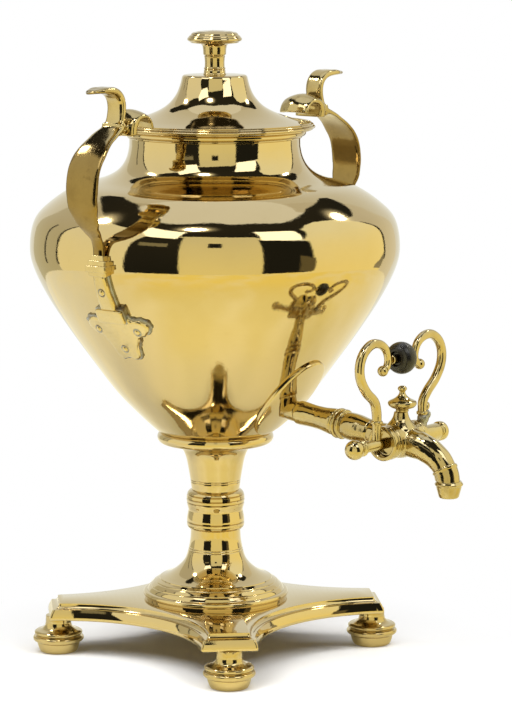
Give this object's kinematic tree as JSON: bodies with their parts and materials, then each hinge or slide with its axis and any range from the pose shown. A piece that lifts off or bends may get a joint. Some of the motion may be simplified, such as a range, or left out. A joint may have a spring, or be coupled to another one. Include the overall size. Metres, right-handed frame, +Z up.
{
  "type": "tea urn",
  "caption": "Pedestal tea urn with swelling body, domed lid, strap handles, a lever tap and an inner tube for a hot iron; holds and serves hot water or tea.",
  "frame": {"origin": "centre of the bounding box's footprint, on the surface the feet stand on; the urn's own axis stands 41.3 mm behind it, toward +Y", "axes": "+Z up, -Y toward the side with the tap, X along the two handles"},
  "size_m": [0.2971, 0.3362, 0.43],
  "materials": {
    "polished_brass": "polished, mirror-like",
    "handle_brass": "satin, lightly tarnished",
    "inner_brass": "dull, unpolished",
    "iron": "rough, scaled by fire",
    "black_bead": "ebonised, slight sheen"
  },
  "bodies": {
    "urn": {"base_plate": "polished_brass", "foot_front_left": "polished_brass", "foot_front_right": "polished_brass", "foot_back_left": "polished_brass", "foot_back_right": "polished_brass", "pedestal_foot": "polished_brass", "pedestal_knop": "polished_brass", "pedestal_stem": "polished_brass", "pedestal_collar": "polished_brass", "body_bowl": "polished_brass", "body_shoulder": "polished_brass", "neck_rim": "polished_brass", "tap_rosette": "polished_brass", "tap_shank": "polished_brass", "valve_body": "polished_brass", "spout_nozzle": "polished_brass", "tap_finial": "polished_brass", "foot_stud_front_left": "inner_brass", "foot_stud_front_right": "inner_brass", "foot_stud_back_left": "inner_brass", "foot_stud_back_right": "inner_brass", "tie_rod": "inner_brass", "tie_rod_lower_nut": "inner_brass", "tie_rod_upper_nut": "inner_brass", "heater_tube": "inner_brass", "right_handle_strap": "handle_brass", "right_handle_scroll": "handle_brass", "right_handle_thumbpiece": "handle_brass", "right_handle_terminal": "handle_brass", "right_handle_rivet_near_ear": "handle_brass", "right_handle_rivet_far_ear": "handle_brass", "right_handle_rivet_tail": "handle_brass", "right_handle_rivet_shank": "handle_brass", "left_handle_strap": "handle_brass", "left_handle_scroll": "handle_brass", "left_handle_thumbpiece": "handle_brass", "left_handle_terminal": "handle_brass", "left_handle_rivet_near_ear": "handle_brass", "left_handle_rivet_far_ear": "handle_brass", "left_handle_rivet_tail": "handle_brass", "left_handle_rivet_shank": "handle_brass"},
    "lid": {"lid_shell": "polished_brass", "lid_rim": "polished_brass", "lid_finial": "polished_brass", "finial_nut": "inner_brass"},
    "tap_lever": {"tap_plug": "polished_brass", "plug_washer": "polished_brass", "spindle_ball": "polished_brass", "spindle_cap": "polished_brass", "lever_arm_near": "polished_brass", "lever_arm_far": "polished_brass", "grip_pin": "polished_brass", "grip_bead": "black_bead"},
    "tube_cover": {"heater_cover": "inner_brass"},
    "iron": {"heater_iron": "iron"}
  },
  "joints": [
    {"name": "lid_lift", "type": "slide", "parent": "urn", "child": "lid", "axis": [0, 0, 1], "range_m": [0, 0.09]},
    {"name": "tap_turn", "type": "hinge", "parent": "urn", "child": "tap_lever", "pos_m": [0, -0.1192, 0.166], "axis": [1, 0, 0], "range_deg": [0, 90]},
    {"name": "tube_cover_lift", "type": "slide", "parent": "urn", "child": "tube_cover", "axis": [0, 0, 1], "range_m": [0, 0.05]},
    {"name": "iron_lift", "type": "slide", "parent": "urn", "child": "iron", "axis": [0, 0, 1], "range_m": [0, 0.025]}
  ]
}
